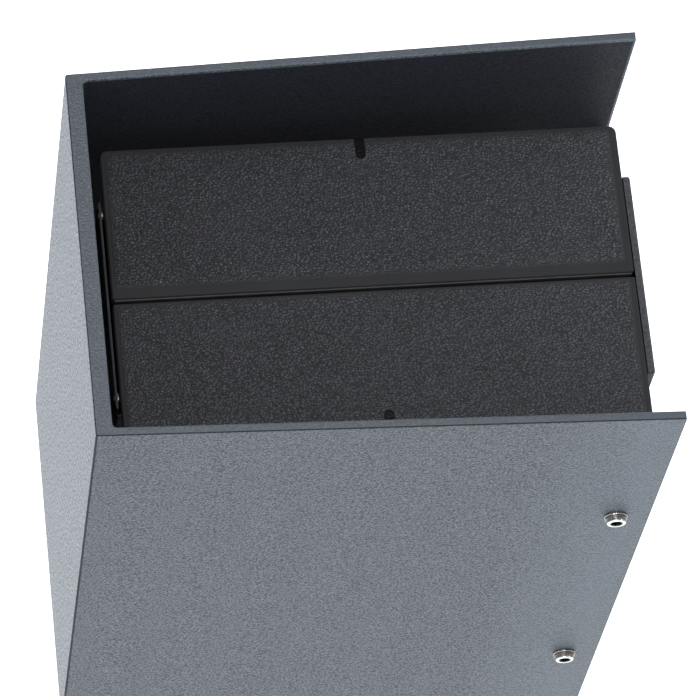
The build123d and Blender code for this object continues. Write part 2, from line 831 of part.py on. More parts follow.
with BuildPart() as hinge_leaves_fixed:
    for side in sides.values():
        middle = side * hinge_offset
        with BuildSketch(Plane.YZ.offset(middle - hinge_length / 2)):
            with Locations((hinge_y, hinge_z)):
                Circle(knuckle_radius)
            with Locations((back_inner, hinge_z)):
                Rectangle(hinge_sheet, hinge_leaf_up, align=(Align.MAX, Align.MIN))
        extrude(amount=hinge_length)
        with Locations((middle, hinge_y, hinge_z)):
            Box(
                knuckle_length + 2 * knuckle_gap,
                2 * back_depth + 2 * leaf_clear,
                2 * leaf_clear,
                mode=Mode.SUBTRACT,
            )
        with BuildSketch(Plane.YZ.offset(middle - hinge_length / 2)):
            with Locations((hinge_y, hinge_z)):
                Circle(hinge_pin_radius)
        extrude(amount=hinge_length, mode=Mode.SUBTRACT)
    with BuildSketch(Plane.XZ.offset(-back_inner)):
        with Locations(*hinge_rivet_places):
            Circle(rivet_radius)
    extrude(amount=hinge_sheet, mode=Mode.SUBTRACT)
finish(hinge_leaves_fixed.part, "hinge_leaves_fixed")

with BuildPart() as hinge_leaves_door:
    for side in sides.values():
        middle = side * hinge_offset
        with BuildSketch(Plane.YZ.offset(middle - hinge_length / 2)):
            with Locations((hinge_y, hinge_z)):
                Circle(knuckle_radius)
            with Locations((hinge_y, door_plate_bottom)):
                Rectangle(hinge_y - door_rear + hinge_leaf_in, hinge_sheet, align=(Align.MAX, Align.MAX))
        extrude(amount=hinge_length)
        for end in (-1, 1):
            with Locations((middle + end * knuckle_length, hinge_y, hinge_z)):
                Box(
                    knuckle_length + 2 * knuckle_gap,
                    2 * leaf_clear,
                    2 * leaf_clear,
                    mode=Mode.SUBTRACT,
                )
        with BuildSketch(Plane.YZ.offset(middle - hinge_length / 2)):
            with Locations((hinge_y, hinge_z)):
                Circle(hinge_pin_radius + running_clearance)
        extrude(amount=hinge_length, mode=Mode.SUBTRACT)
    with BuildSketch(Plane.XY.offset(door_plate_bottom)):
        with Locations(*door_rivet_places):
            Circle(rivet_radius)
    extrude(amount=-hinge_sheet, mode=Mode.SUBTRACT)
finish(hinge_leaves_door.part, "hinge_leaves_door")

with BuildPart() as hinge_pins:
    for side in sides.values():
        with BuildSketch(Plane.YZ.offset(side * hinge_offset - hinge_length / 2)):
            with Locations((hinge_y, hinge_z)):
                Circle(hinge_pin_radius)
        extrude(amount=hinge_length)
finish(hinge_pins.part, "hinge_pins")

with BuildPart() as hinge_rivets_fixed:
    with BuildSketch(Plane.XZ.offset(-(back_inner - hinge_sheet - rivet_head))):
        with Locations(*hinge_rivet_places):
            Circle(rivet_head_radius)
    extrude(amount=-rivet_head)
    with BuildSketch(Plane.XZ.offset(-(back_inner - hinge_sheet))):
        with Locations(*hinge_rivet_places):
            Circle(rivet_radius)
    extrude(amount=-(hinge_sheet + back_sheet))
finish(hinge_rivets_fixed.part, "hinge_rivets_fixed")

with BuildPart() as hinge_rivets_door:
    with BuildSketch(Plane.XY.offset(door_plate_bottom - hinge_sheet - rivet_head)):
        with Locations(*door_rivet_places):
            Circle(rivet_head_radius)
    extrude(amount=rivet_head)
    with BuildSketch(Plane.XY.offset(door_plate_bottom - hinge_sheet)):
        with Locations(*door_rivet_places):
            Circle(rivet_radius)
    extrude(amount=hinge_sheet + door_sheet)
    with BuildSketch(Plane.XY.offset(door_plate_top)):
        with Locations(*door_rivet_places):
            Circle(rivet_tail_radius)
    extrude(amount=rivet_tail)
finish(hinge_rivets_door.part, "hinge_rivets_door")

# ---------------------------------------------------------------- cam lock and strike

with BuildPart() as lock_barrel:
    with BuildSketch(Plane.XY.offset(door_plate_bottom - lock_head)):
        with Locations((0, lock_y)):
            Circle(lock_head_radius)
    extrude(amount=lock_head)
    fillet(faces().sort_by(Axis.Z)[0].edges(), lock_head_edge)
    with BuildSketch(Plane.XY.offset(door_plate_bottom)):
        with Locations((0, lock_y)):
            Circle(lock_body_radius)
    extrude(amount=lock_body_length)
    with BuildSketch(Plane.XY.offset(door_plate_bottom - lock_head)):
        with Locations((0, lock_y)):
            Circle(lock_plug_radius + running_clearance)
    extrude(amount=lock_head + lock_body_length, mode=Mode.SUBTRACT)
finish(lock_barrel.part, "lock_barrel")

with BuildPart() as lock_nut:
    with BuildSketch(Plane.XY.offset(door_plate_top)):
        with Locations((0, lock_y)):
            RegularPolygon(lock_nut_flats / 2, 6, major_radius=False)
            Circle(lock_body_radius + thread_clearance, mode=Mode.SUBTRACT)
    extrude(amount=lock_nut_height)
finish(lock_nut.part, "lock_nut")

with BuildPart() as lock_plug:
    with BuildSketch(Plane.XY.offset(door_plate_bottom - lock_head)):
        with Locations((0, lock_y)):
            Circle(lock_plug_radius)
    extrude(amount=lock_head + lock_body_length)
    with BuildSketch(Plane.XY.offset(cam_bottom)):
        with Locations((0, lock_y)):
            Rectangle(cam_square, cam_square)
    extrude(amount=cam_sheet)
    with BuildSketch(Plane.XY.offset(door_plate_bottom - lock_head)):
        with Locations((0, lock_y)):
            Rectangle(keyway_length, keyway_width)
    extrude(amount=keyway_depth, mode=Mode.SUBTRACT)
    with Locations((0, lock_y, cam_top)):
        Hole(cam_screw_radius, depth=2 * cam_sheet)
finish(lock_plug.part, "lock_plug")

cam_square_hole = cam_square + 2 * cam_square_clearance
with BuildPart() as lock_cam:
    with BuildSketch(Plane.XY.offset(cam_bottom)):
        with Locations((0, lock_y)):
            Circle(cam_width / 2)
            Rectangle(cam_length, cam_arm_width, align=(Align.MIN, Align.CENTER))
        fillet(vertices().group_by(Axis.X)[-1], cam_tip_radius)
        with Locations((0, lock_y)):
            Rectangle(cam_square_hole, cam_square_hole, mode=Mode.SUBTRACT)
    extrude(amount=cam_sheet)
finish(lock_cam.part, "lock_cam")

with BuildPart() as lock_cam_screw:
    with Locations((0, lock_y, cam_top)):
        Cylinder(cam_screw_head_radius, cam_screw_head, align=(Align.CENTER, Align.CENTER, Align.MIN))
        Cylinder(cam_screw_radius, 2 * cam_sheet, align=(Align.CENTER, Align.CENTER, Align.MAX))
finish(lock_cam_screw.part, "lock_cam_screw")

with BuildPart() as lock_strike:
    with Locations((0, bin_inner_front, strike_bottom)):
        Box(strike_width, strike_sheet, strike_height, align=low_align)
        Box(strike_width, strike_lip, strike_sheet, align=low_align)
    with BuildSketch(Plane.XZ.offset(-bin_inner_front)):
        with Locations(*strike_rivet_places):
            Circle(rivet_radius)
    extrude(amount=-strike_sheet, mode=Mode.SUBTRACT)
finish(lock_strike.part, "lock_strike")

with BuildPart() as strike_rivets:
    with BuildSketch(Plane.XZ.offset(-(bin_front - rivet_head))):
        with Locations(*strike_rivet_places):
            Circle(rivet_head_radius)
    extrude(amount=-rivet_head)
    with BuildSketch(Plane.XZ.offset(-bin_front)):
        with Locations(*strike_rivet_places):
            Circle(rivet_radius)
    extrude(amount=-(bin_sheet + strike_sheet))
    with BuildSketch(Plane.XZ.offset(-(bin_inner_front + strike_sheet))):
        with Locations(*strike_rivet_places):
            Circle(rivet_tail_radius)
    extrude(amount=-rivet_tail)
finish(strike_rivets.part, "strike_rivets")
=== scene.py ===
import json
import math

import bpy
from mathutils import Matrix, Vector


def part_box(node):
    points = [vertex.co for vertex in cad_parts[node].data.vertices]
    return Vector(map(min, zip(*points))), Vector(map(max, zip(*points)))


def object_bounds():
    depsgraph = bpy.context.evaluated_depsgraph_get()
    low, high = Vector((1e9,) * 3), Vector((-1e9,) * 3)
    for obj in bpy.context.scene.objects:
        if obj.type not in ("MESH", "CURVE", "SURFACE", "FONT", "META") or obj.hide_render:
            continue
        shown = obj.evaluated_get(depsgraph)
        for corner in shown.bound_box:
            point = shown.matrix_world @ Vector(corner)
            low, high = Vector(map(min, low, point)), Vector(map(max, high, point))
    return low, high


# A wall-hung steel parcel drop box.  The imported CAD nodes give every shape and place.
# This script gives them their finishes, and adds the camera, the studio light and the floor.
# All lengths are in metres, in the frame's own axes: +X right, +Y towards the wall, +Z up.

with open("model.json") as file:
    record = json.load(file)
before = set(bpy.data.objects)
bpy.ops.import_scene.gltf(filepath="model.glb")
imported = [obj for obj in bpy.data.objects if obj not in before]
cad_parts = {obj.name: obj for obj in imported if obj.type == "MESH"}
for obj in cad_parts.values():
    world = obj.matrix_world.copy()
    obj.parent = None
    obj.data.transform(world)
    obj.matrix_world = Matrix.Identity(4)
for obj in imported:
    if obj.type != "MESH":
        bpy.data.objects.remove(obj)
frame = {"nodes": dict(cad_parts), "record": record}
cad_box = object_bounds()

MM = 0.001

# ---------------------------------------------------------------- places taken from the frame

flap_left_low, flap_left_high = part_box("flap_left")
flap_right_low, flap_right_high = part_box("flap_right")
flap_top = flap_left_high.z
bolts_low, bolts_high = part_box("cover_bolts")
bolt_y = (bolts_low.y + bolts_high.y) / 2
bolt_radius = (bolts_high.y - bolts_low.y) / 2
bolt_heights = (bolts_low.z + bolt_radius, bolts_high.z - bolt_radius)
lock_low, lock_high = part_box("lock_barrel")
lock_centre = (lock_low + lock_high) / 2

# ---------------------------------------------------------------- camera

CAMERA_AZIMUTH = 72.49
CAMERA_ELEVATION = 66.03
CAMERA_ROLL = 12.93
CAMERA_DISTANCE = 3.3825
CAMERA_LENS = 265.45
CAMERA_SENSOR = 36.0
CAMERA_AIM = Vector((0.0422, -0.0127, flap_top))


def make_camera():
    """A long lens high above the box, over its right side, rolled a little."""
    azimuth, elevation, roll = map(math.radians, (CAMERA_AZIMUTH, CAMERA_ELEVATION, CAMERA_ROLL))
    level = Vector((math.cos(azimuth), math.sin(azimuth), 0))
    back = Vector((math.sin(azimuth), -math.cos(azimuth), math.tan(elevation))).normalized()
    right = level * math.cos(roll) + back.cross(level) * math.sin(roll)
    up = back.cross(right)
    data = bpy.data.cameras.new("camera")
    data.sensor_width = CAMERA_SENSOR
    data.lens = CAMERA_LENS
    data.clip_end = 50
    camera = bpy.data.objects.new("camera", data)
    camera.matrix_world = Matrix.Translation(CAMERA_AIM + back * CAMERA_DISTANCE) @ Matrix(
        (right, up, back)
    ).transposed().to_4x4()
    bpy.context.scene.collection.objects.link(camera)
    bpy.context.scene.camera = camera


# ---------------------------------------------------------------- shader node helpers

BEVEL_SAMPLES = 4
RECESS_SAMPLES = 8
# Each mask below is full at its first value and gone at its second.
EDGE_TURN = (0.80, 0.99)  # cosine between the rounded normal and the true one
CORNER_TURN = (0.85, 0.985)  # largest part of the normal along one axis
RECESS_SKY = (0.25, 0.85)  # share of the sky that a point sees
CLOUD_RANGE = (0.35, 0.65)  # noise values from the darkest to the lightest part of a cloud
SMEAR_RANGE = (0.35, 0.70)


class Paint:
    """A material with one Principled shader, and short calls that add nodes in front of it."""

    def __init__(self, name, metallic=0.0, specular=0.5):
        self.material = bpy.data.materials.new(name)
        self.material.use_nodes = True
        self.tree = self.material.node_tree
        self.tree.nodes.clear()
        self.output = self.tree.nodes.new("ShaderNodeOutputMaterial")
        self.shader = self.tree.nodes.new("ShaderNodeBsdfPrincipled")
        self.tree.links.new(self.shader.outputs[0], self.output.inputs["Surface"])
        self.shader.inputs["Metallic"].default_value = metallic
        self.shader.inputs["Specular IOR Level"].default_value = specular
        self.place = self.tree.nodes.new("ShaderNodeTexCoord").outputs["Object"]

    def feed(self, socket, source):
        """Link an output to an input, or set the input to a plain value."""
        if isinstance(source, bpy.types.NodeSocket):
            self.tree.links.new(source, socket)
        elif isinstance(source, tuple) and len(source) == 3 and socket.type == "RGBA":
            socket.default_value = (*source, 1.0)
        else:
            socket.default_value = source

    def maths(self, operation, a, b=0.0, c=0.0, clamp=False):
        """One Math node on up to three values or outputs."""
        node = self.tree.nodes.new("ShaderNodeMath")
        node.operation = operation
        node.use_clamp = clamp
        for socket, source in zip(node.inputs, (a, b, c)):
            self.feed(socket, source)
        return node.outputs[0]

    def span(self, value, low, high, to_low=0.0, to_high=1.0, smooth=False):
        """Map value from low..high to to_low..to_high, clamped."""
        node = self.tree.nodes.new("ShaderNodeMapRange")
        node.interpolation_type = "SMOOTHSTEP" if smooth else "LINEAR"
        for name, source in (
            ("Value", value),
            ("From Min", low),
            ("From Max", high),
            ("To Min", to_low),
            ("To Max", to_high),
        ):
            self.feed(node.inputs[name], source)
        return node.outputs["Result"]

    def noise(self, size, detail=2.0, roughness=0.5, distortion=0.0, place=None):
        """Noise whose bumps are about size across."""
        node = self.tree.nodes.new("ShaderNodeTexNoise")
        self.feed(node.inputs["Vector"], place or self.place)
        node.inputs["Scale"].default_value = 1 / size
        node.inputs["Detail"].default_value = detail
        node.inputs["Roughness"].default_value = roughness
        node.inputs["Distortion"].default_value = distortion
        return node.outputs["Fac"]

    def cells(self, size, feature, place=None):
        """Distances in a pattern of cells about size across."""
        node = self.tree.nodes.new("ShaderNodeTexVoronoi")
        node.feature = feature
        self.feed(node.inputs["Vector"], place or self.place)
        node.inputs["Scale"].default_value = 1 / size
        return node.outputs["Distance"]

    def stretched(self, scale, turn=(0.0, 0.0, 0.0)):
        """The place, turned by these degrees and then stretched."""
        node = self.tree.nodes.new("ShaderNodeMapping")
        node.vector_type = "TEXTURE"
        self.feed(node.inputs["Vector"], self.place)
        node.inputs["Rotation"].default_value = tuple(map(math.radians, turn))
        node.inputs["Scale"].default_value = scale
        return node.outputs[0]

    def cloud(self, size, detail=3.0):
        """Soft patches about size across, from 0 to 1."""
        return self.span(self.noise(size, detail=detail), *CLOUD_RANGE)

    def squared(self, a, b):
        """The square of the distance whose two legs are a and b."""
        return self.maths("MULTIPLY_ADD", a, a, self.maths("MULTIPLY", b, b))

    def rings(self, squares, pitch):
        """Waves that run round an axis, from the square of the distance to it."""
        distance = self.maths("SQRT", squares)
        return self.maths("SINE", self.maths("MULTIPLY", distance, math.tau / pitch))

    def axis(self, name):
        """One coordinate of the place."""
        node = self.tree.nodes.new("ShaderNodeSeparateXYZ")
        self.feed(node.inputs[0], self.place)
        return node.outputs[name]

    def blend(self, share, a, b):
        """Colour a where share is 0, and b where it is 1."""
        node = self.tree.nodes.new("ShaderNodeMix")
        node.data_type = "RGBA"
        self.feed(node.inputs["Factor"], share)
        colours = [s for s in node.inputs if s.type == "RGBA"]
        self.feed(colours[0], a)
        self.feed(colours[1], b)
        return [s for s in node.outputs if s.type == "RGBA"][0]

    def tint(self, colour, by):
        """The colour made lighter or darker by a value or an output."""
        node = self.tree.nodes.new("ShaderNodeVectorMath")
        node.operation = "SCALE"
        self.feed(node.inputs[0], colour)
        self.feed(node.inputs["Scale"], by)
        return node.outputs[0]

    def rounded(self, radius):
        """The surface's normal as if its sharp edges had this radius."""
        node = self.tree.nodes.new("ShaderNodeBevel")
        node.samples = BEVEL_SAMPLES
        node.inputs["Radius"].default_value = radius
        return node.outputs["Normal"]

    def edges(self, radius):
        """1 on the object's edges, falling to 0 at about radius from them."""
        node = self.tree.nodes.new("ShaderNodeVectorMath")
        node.operation = "DOT_PRODUCT"
        self.feed(node.inputs[0], self.rounded(radius))
        geometry = self.tree.nodes.new("ShaderNodeNewGeometry")
        self.feed(node.inputs[1], geometry.outputs["Normal"])
        return self.span(node.outputs["Value"], *EDGE_TURN, 1.0, 0.0)

    def recess(self, reach):
        """1 deep in holes and corners, 0 in the open."""
        node = self.tree.nodes.new("ShaderNodeAmbientOcclusion")
        node.samples = RECESS_SAMPLES
        node.inputs["Distance"].default_value = reach
        return self.span(node.outputs["AO"], *RECESS_SKY, 1.0, 0.0)

    def facing(self, name):
        """How far the surface faces along one axis, from -1 to 1."""
        geometry = self.tree.nodes.new("ShaderNodeNewGeometry")
        node = self.tree.nodes.new("ShaderNodeSeparateXYZ")
        self.feed(node.inputs[0], geometry.outputs["Normal"])
        return node.outputs[name]

    def corners(self):
        """1 on rounded edges, whose surface faces along none of the three axes."""
        most = 0.0
        for name in "XYZ":
            most = self.maths("MAXIMUM", most, self.maths("ABSOLUTE", self.facing(name)))
        return self.span(most, *CORNER_TURN, 1.0, 0.0)

    def bump(self, height, distance, strength, normal):
        """The normal with bumps of this height and distance added."""
        node = self.tree.nodes.new("ShaderNodeBump")
        self.feed(node.inputs["Height"], height)
        node.inputs["Distance"].default_value = distance
        self.feed(node.inputs["Strength"], strength)
        self.feed(node.inputs["Normal"], normal)
        return node.outputs["Normal"]

    def clear_from_behind(self):
        """Let a view from behind the surface through."""
        geometry = self.tree.nodes.new("ShaderNodeNewGeometry")
        clear = self.tree.nodes.new("ShaderNodeBsdfTransparent")
        mix = self.tree.nodes.new("ShaderNodeMixShader")
        self.tree.links.new(geometry.outputs["Backfacing"], mix.inputs[0])
        self.tree.links.new(self.shader.outputs[0], mix.inputs[1])
        self.tree.links.new(clear.outputs[0], mix.inputs[2])
        self.tree.links.new(mix.outputs[0], self.output.inputs["Surface"])

    def finish(self, colour, roughness, normal=None):
        """Feed the shader and return the material."""
        self.feed(self.shader.inputs["Base Color"], colour)
        self.feed(self.shader.inputs["Roughness"], roughness)
        if normal is not None:
            self.feed(self.shader.inputs["Normal"], normal)
        return self.material


def shade(colour, by):
    """The colour made lighter or darker by a factor."""
    return tuple(min(1.0, c * by) for c in colour)


# ---------------------------------------------------------------- materials

# near-black colour painted into sockets and recesses as shade
RECESS_SHADE = (0.020, 0.016, 0.013)
COAT_EDGE = 0.3 * MM  # radius that sharp edges seem to have under the coat
METAL_EDGE = 0.25 * MM
CLOUD_SIZE = 60 * MM
GRAIN_TOP = 0.5  # height of the grain where its tone and gloss are at their most
SPECKLE = 0.4


def powder_coat(name, colour, grain, depth, roughness, specular):
    """Fine-textured powder coat with a sandy grain, a cloudy tone and lightly rubbed edges."""
    p = Paint(name, specular=specular)
    sand = p.noise(grain, detail=2.0, roughness=0.7)
    pits = p.cells(grain * 1.1, "F1")
    height = p.maths("MULTIPLY_ADD", pits, -0.5, sand)
    tone = p.blend(p.cloud(CLOUD_SIZE), shade(colour, 0.96), shade(colour, 1.04))
    tone = p.tint(tone, p.span(height, 0.0, GRAIN_TOP, 1 - SPECKLE, 1 + SPECKLE))
    patches = p.span(p.noise(9 * MM, detail=4.0), 0.4, 0.7, 0.1, 0.35)
    scuffs = p.maths("MULTIPLY", p.edges(1.0 * MM), patches)
    worn = p.blend(scuffs, tone, shade(colour, 2.5))
    rough = p.span(height, 0.0, GRAIN_TOP, roughness + 0.06, roughness - 0.06)
    return p.finish(worn, rough, p.bump(height, depth, 1.0, p.rounded(COAT_EDGE)))


SIDE_GRAIN = 1.35 * MM
FRONT_GRAIN = 2.0 * MM
PIT_SIZE = 1.5 * MM
COVER_BUMP = 3.0 * MM
FRONT_STRETCH = 3.2
FRONT_SLANT = 24.0
SMOOTH_FROM_REAR = (100 * MM, 15 * MM)  # where the side's grain starts and stops to fade
RIM_GRAIN = 0.3
REAR_GRAIN = 0.45
OPENING_INSET_FRONT = 15 * MM
OPENING_INSET_REAR = 4 * MM


def cover_coat(name, colour, low, high):
    """The cover's coat: sandy, coarser and slanting on the front, smoother on its rim and rear.

    Its outer edges carry a thin painted dark shade and are matt; those round the opening carry a
    thin painted highlight.
    """
    p = Paint(name)
    x, y = p.axis("X"), p.axis("Y")
    front = p.span(p.facing("Y"), -0.9, -0.7, 1.0, 0.0)
    slanted = p.stretched((1.0, 1.0, FRONT_STRETCH), turn=(0.0, FRONT_SLANT, 0.0))
    side_sand = p.noise(SIDE_GRAIN, detail=2.0, roughness=0.7)
    front_sand = p.noise(FRONT_GRAIN, detail=2.0, roughness=0.6, place=slanted)
    pits = p.cells(PIT_SIZE, "F1")
    side_height = p.maths("MULTIPLY_ADD", pits, -0.5, side_sand)
    front_height = p.maths("MULTIPLY_ADD", pits, -0.28, front_sand)
    height = p.maths(
        "ADD",
        p.maths("MULTIPLY", front_height, front),
        p.maths("MULTIPLY", side_height, p.maths("SUBTRACT", 1.0, front)),
    )
    level = p.span(p.facing("Z"), 0.7, 0.95, 1.0, RIM_GRAIN)
    fade_from, fade_to = (high.y - distance for distance in SMOOTH_FROM_REAR)
    rear = p.span(y, fade_from, fade_to, 1.0, REAR_GRAIN)
    depth = p.maths("MULTIPLY", level, rear)
    middle = p.maths("SUBTRACT", p.span(height, 0.05, GRAIN_TOP), 0.5)
    grit = p.maths("MULTIPLY_ADD", middle, depth, 0.5)
    tone = p.blend(p.cloud(CLOUD_SIZE), shade(colour, 0.97), shade(colour, 1.03))
    tone = p.tint(tone, p.span(grit, 0.0, 1.0, 0.15, 1.85))
    rough = p.span(grit, 0.0, 1.0, 0.62, 0.32)

    edge = p.maths("MAXIMUM", p.corners(), p.edges(0.8 * MM))
    inset_front, inset_rear = high.x - OPENING_INSET_FRONT, high.x - OPENING_INSET_REAR
    between_sides = p.maths(
        "LESS_THAN", p.maths("ABSOLUTE", x), p.span(y, low.y, high.y, inset_front, inset_rear)
    )
    behind_front = p.maths("GREATER_THAN", y, low.y + 4 * MM)
    opening = p.maths("MULTIPLY", between_sides, behind_front)
    outer = p.maths("MULTIPLY", edge, p.maths("SUBTRACT", 1.0, opening))
    inner = p.maths("MULTIPLY", edge, opening)
    # painted shade: thin dark lines on the cover's outer edges
    tone = p.blend(outer, tone, shade(colour, 0.15))
    # painted highlight: a thin light line on the edges round the opening
    tone = p.blend(p.maths("MULTIPLY", inner, 0.35), tone, shade(colour, 2.6))
    rough = p.maths("ADD", rough, outer, clamp=True)
    strength = p.maths("MULTIPLY", depth, p.span(outer, 0.0, 1.0, 1.0, 0.1))
    return p.finish(tone, rough, p.bump(height, COVER_BUMP, strength, p.rounded(COAT_EDGE)))


FLAP_SPECULAR = 0.42
FLAP_FADE = 2.5 * MM
FLAP_BUMP = 3.4 * MM
FLAP_STRETCH = 2.1
FLAP_SLANT = -38.0
PEBBLE_SIZE = 1.25 * MM
RIPPLE_SIZE = 1.05 * MM


def flap_coat(name, low, high, margins):
    """Coarse leather-like grain on top, inside smooth margins: (low x, high x, low y, high y)."""
    p = Paint(name, specular=FLAP_SPECULAR)
    x, y = p.axis("X"), p.axis("Y")
    field = 1.0
    for value, edge, margin, sign in (
        (x, low.x, margins[0], 1),
        (x, high.x, margins[1], -1),
        (y, low.y, margins[2], 1),
        (y, high.y, margins[3], -1),
    ):
        inside = p.maths("MULTIPLY_ADD", value, sign, -sign * edge)
        grown = p.span(inside, margin - FLAP_FADE, margin + FLAP_FADE, smooth=True)
        field = p.maths("MULTIPLY", grown, field)
    up = p.span(p.axis("Z"), high.z - 2 * MM, high.z - 0.6 * MM)
    field = p.maths("MULTIPLY", up, field)
    streaked = p.stretched((1.0, FLAP_STRETCH, 1.0), turn=(0.0, 0.0, FLAP_SLANT))
    walls = p.cells(PEBBLE_SIZE, "DISTANCE_TO_EDGE", place=streaked)
    pebbles = p.span(walls, 0.0, 0.32, smooth=True)
    ripple = p.noise(RIPPLE_SIZE, detail=3.0, roughness=0.65, distortion=0.6, place=streaked)
    leather = p.maths("MULTIPLY_ADD", pebbles, 0.55, ripple)
    orange_peel = p.noise(2.5 * MM, detail=2.0)
    grained = p.bump(p.maths("MULTIPLY", leather, field), FLAP_BUMP, 1.0, p.rounded(COAT_EDGE))
    normal = p.bump(orange_peel, 0.03 * MM, 1.0, grained)
    cloud = p.cloud(45 * MM, detail=4.0)
    tone = p.blend(cloud, shade(FLAP_COLOUR, 0.85), shade(FLAP_COLOUR, 1.15))
    # painted highlight: the grain's crests get a much lighter colour below
    crest_highlight = p.maths("MULTIPLY", p.span(leather, 0.6, 1.05), field)
    tone = p.tint(tone, p.span(field, 0.0, 1.0, 0.4, 1.0))
    lit = p.blend(p.maths("MULTIPLY", crest_highlight, 0.9), tone, shade(FLAP_COLOUR, 6.0))
    # painted highlight along the flap's edges
    lit = p.blend(p.maths("MULTIPLY", p.edges(0.5 * MM), 0.5), lit, shade(FLAP_COLOUR, 6.0))
    grained_rough = p.span(leather, 0.4, 1.0, 0.66, 0.44)
    rough = p.span(field, 0.0, 1.0, 0.85, grained_rough)
    return p.finish(lit, rough, normal)


RING_PITCH = 0.35 * MM
SOCKET_RADIUS = 4.4 * MM


def turned_steel(name, colour, roughness):
    """Turned steel: fine rings round the cover bolts' axes, and painted shade in the bolts' sockets
    and other recesses.
    """
    p = Paint(name, metallic=1.0)
    across = p.maths("SUBTRACT", p.axis("Y"), bolt_y)
    rises = [p.maths("SUBTRACT", p.axis("Z"), height) for height in bolt_heights]
    rise = p.maths("MINIMUM", *(p.maths("ABSOLUTE", r) for r in rises))
    squares = p.squared(across, rise)
    smear = p.span(p.noise(2.5 * MM, detail=4.0), *SMEAR_RANGE)
    tone = p.blend(smear, colour, shade(colour, 0.82))
    # painted shade: dark colour deep in the bolts' hex sockets and in recesses
    socket = p.maths("LESS_THAN", squares, SOCKET_RADIUS**2)
    recess_shade = p.maths("MAXIMUM", p.recess(8 * MM), p.maths("MULTIPLY", socket, 0.9))
    tone = p.blend(recess_shade, tone, RECESS_SHADE)
    rough = p.span(smear, 0.0, 1.0, roughness, roughness + 0.12)
    normal = p.bump(p.rings(squares, RING_PITCH), 0.004 * MM, 0.5, p.rounded(METAL_EDGE))
    return p.finish(tone, rough, normal)


def rolled_steel(name, colour, roughness):
    """Plated or blackened sheet and bar: cloudy plating with fine scratches along Y."""
    p = Paint(name, metallic=1.0)
    bloom = p.span(p.noise(7 * MM, detail=4.0, distortion=0.5), *SMEAR_RANGE)
    lines = p.noise(0.5 * MM, detail=3.0, place=p.stretched((1.0, 14.0, 1.0)))
    tone = p.blend(bloom, shade(colour, 1.06), shade(colour, 0.78))
    worn = p.blend(p.maths("MULTIPLY", p.edges(0.5 * MM), 0.35), tone, shade(colour, 1.5))
    # painted shade in recesses, laid over the worn edges
    worn = p.blend(p.maths("MULTIPLY", p.recess(2 * MM), 0.8), worn, RECESS_SHADE)
    rough = p.maths("MULTIPLY_ADD", bloom, 0.14, roughness - 0.04)
    normal = p.bump(lines, 0.02 * MM, 0.5, p.rounded(METAL_EDGE))
    return p.finish(worn, rough, normal)


def bright_plating(name, colour):
    """Bright nickel plating with rings round the lock's axis."""
    p = Paint(name, metallic=1.0)
    across = p.maths("SUBTRACT", p.axis("X"), lock_centre.x)
    along = p.maths("SUBTRACT", p.axis("Y"), lock_centre.y)
    rings = p.rings(p.squared(across, along), 0.3 * MM)
    prints = p.span(p.noise(4 * MM, detail=4.0), 0.4, 0.7)
    rough = p.span(prints, 0.0, 1.0, 0.12, 0.26)
    normal = p.bump(rings, 0.002 * MM, 0.5, p.rounded(0.2 * MM))
    return p.finish(p.blend(prints, colour, shade(colour, 0.9)), rough, normal)


def rubber(name, colour):
    """Matt black rubber with a dusty bloom and a fine moulded texture."""
    p = Paint(name, specular=0.35)
    bloom = p.span(p.noise(12 * MM, detail=5.0), 0.45, 0.75)
    tone = p.blend(bloom, colour, shade(colour, 1.9))
    rough = p.span(bloom, 0.0, 1.0, 0.72, 0.86)
    normal = p.bump(p.noise(0.7 * MM, detail=3.0), 0.06 * MM, 0.8, p.rounded(COAT_EDGE))
    return p.finish(tone, rough, normal)


def nylon(name, colour):
    """Black moulded nylon, a little translucent."""
    p = Paint(name, specular=0.45)
    p.shader.inputs["Subsurface Weight"].default_value = 0.25
    p.shader.inputs["Subsurface Radius"].default_value = (1.0, 0.8, 0.6)
    p.shader.inputs["Subsurface Scale"].default_value = 0.8 * MM
    cloud = p.cloud(3 * MM)
    tone = p.blend(cloud, shade(colour, 0.93), shade(colour, 1.04))
    normal = p.bump(p.noise(0.9 * MM, detail=2.0), 0.03 * MM, 0.6, p.rounded(METAL_EDGE))
    return p.finish(tone, p.span(cloud, 0.0, 1.0, 0.38, 0.5), normal)


ANTHRACITE = (0.037, 0.045, 0.055)
LINER_COLOUR = (0.010, 0.010, 0.014)
INNER_COLOUR = (0.030, 0.031, 0.034)
FLAP_COLOUR = (0.020, 0.0205, 0.0235)
FLAP_MARGINS_LEFT = (4.0 * MM, 9.0 * MM, 4.5 * MM, 7.0 * MM)
FLAP_MARGINS_RIGHT = (3.0 * MM, 4.0 * MM, 4.0 * MM, 6.0 * MM)

by_slot = {
    "cover_powder_coat": cover_coat("cover_powder_coat", ANTHRACITE, *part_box("cover_shell")),
    "liner_powder_coat": powder_coat(
        "liner_powder_coat", LINER_COLOUR, 1.7 * MM, 0.2 * MM, 0.6, specular=0.1
    ),
    "inner_powder_coat": powder_coat(
        "inner_powder_coat", INNER_COLOUR, 1.6 * MM, 0.6 * MM, 0.62, specular=0.3
    ),
    "stainless_steel": turned_steel("stainless_steel", (0.66, 0.64, 0.61), 0.2),
    "zinc_steel": rolled_steel("zinc_steel", (0.37, 0.38, 0.40), 0.38),
    "spring_steel": rolled_steel("spring_steel", (0.20, 0.20, 0.21), 0.4),
    "blackened_steel": rolled_steel("blackened_steel", (0.014, 0.014, 0.016), 0.45),
    "chromed_metal": bright_plating("chromed_metal", (0.78, 0.77, 0.74)),
    "rubber": rubber("rubber", (0.020, 0.020, 0.021)),
    "bush_plastic": nylon("bush_plastic", (0.030, 0.030, 0.032)),
}
